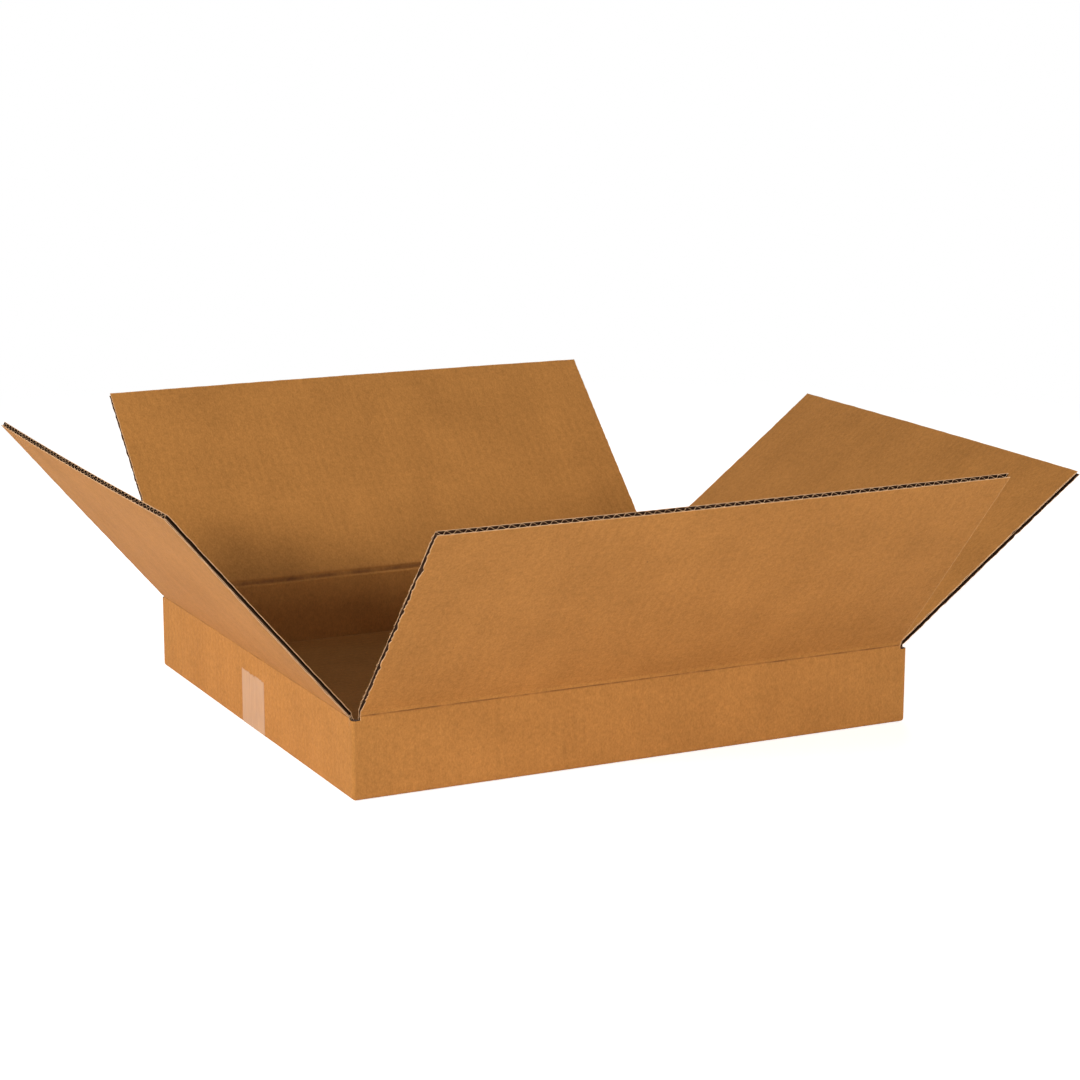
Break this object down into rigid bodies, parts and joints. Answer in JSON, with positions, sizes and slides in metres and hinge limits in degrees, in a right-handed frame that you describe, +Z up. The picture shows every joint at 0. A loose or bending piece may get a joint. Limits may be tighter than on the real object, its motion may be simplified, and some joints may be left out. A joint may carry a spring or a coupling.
{
  "type": "open corrugated cardboard box",
  "caption": "Shallow corrugated cardboard box with four hinged top flaps splayed outward and a taped bottom, open for packing.",
  "frame": {"origin": "middle of the underside, at the height of the table", "axes": "+X along the length, +Y from the front wall to the back wall, +Z up"},
  "size_m": [0.7609, 0.695, 0.2212],
  "materials": {
    "box_board": "matte kraft liner",
    "flap_board": "matte kraft liner",
    "tape_film": "thin clear packing tape, satin"
  },
  "bodies": {
    "box": {"box_body": "box_board", "bottom_tape": "tape_film"},
    "front_flap": {"front_flap": "flap_board"},
    "right_flap": {"right_flap": "flap_board"},
    "back_flap": {"back_flap": "flap_board"},
    "left_flap": {"left_flap": "flap_board"}
  },
  "joints": [
    {"name": "front_crease", "type": "hinge", "parent": "box", "child": "front_flap", "pos_m": [0, -0.2052, 0.0652], "axis": [1, 0, 0], "range_deg": [-130.9, 66.1]},
    {"name": "right_crease", "type": "hinge", "parent": "box", "child": "right_flap", "pos_m": [0.2306, 0, 0.0609], "axis": [0, 1, 0], "range_deg": [-143, 53]},
    {"name": "back_crease", "type": "hinge", "parent": "box", "child": "back_flap", "pos_m": [0, 0.2052, 0.0652], "axis": [-1, 0, 0], "range_deg": [-136.2, 60.8]},
    {"name": "left_crease", "type": "hinge", "parent": "box", "child": "left_flap", "pos_m": [-0.2306, 0, 0.0609], "axis": [0, -1, 0], "range_deg": [-130.7, 65.3]}
  ]
}
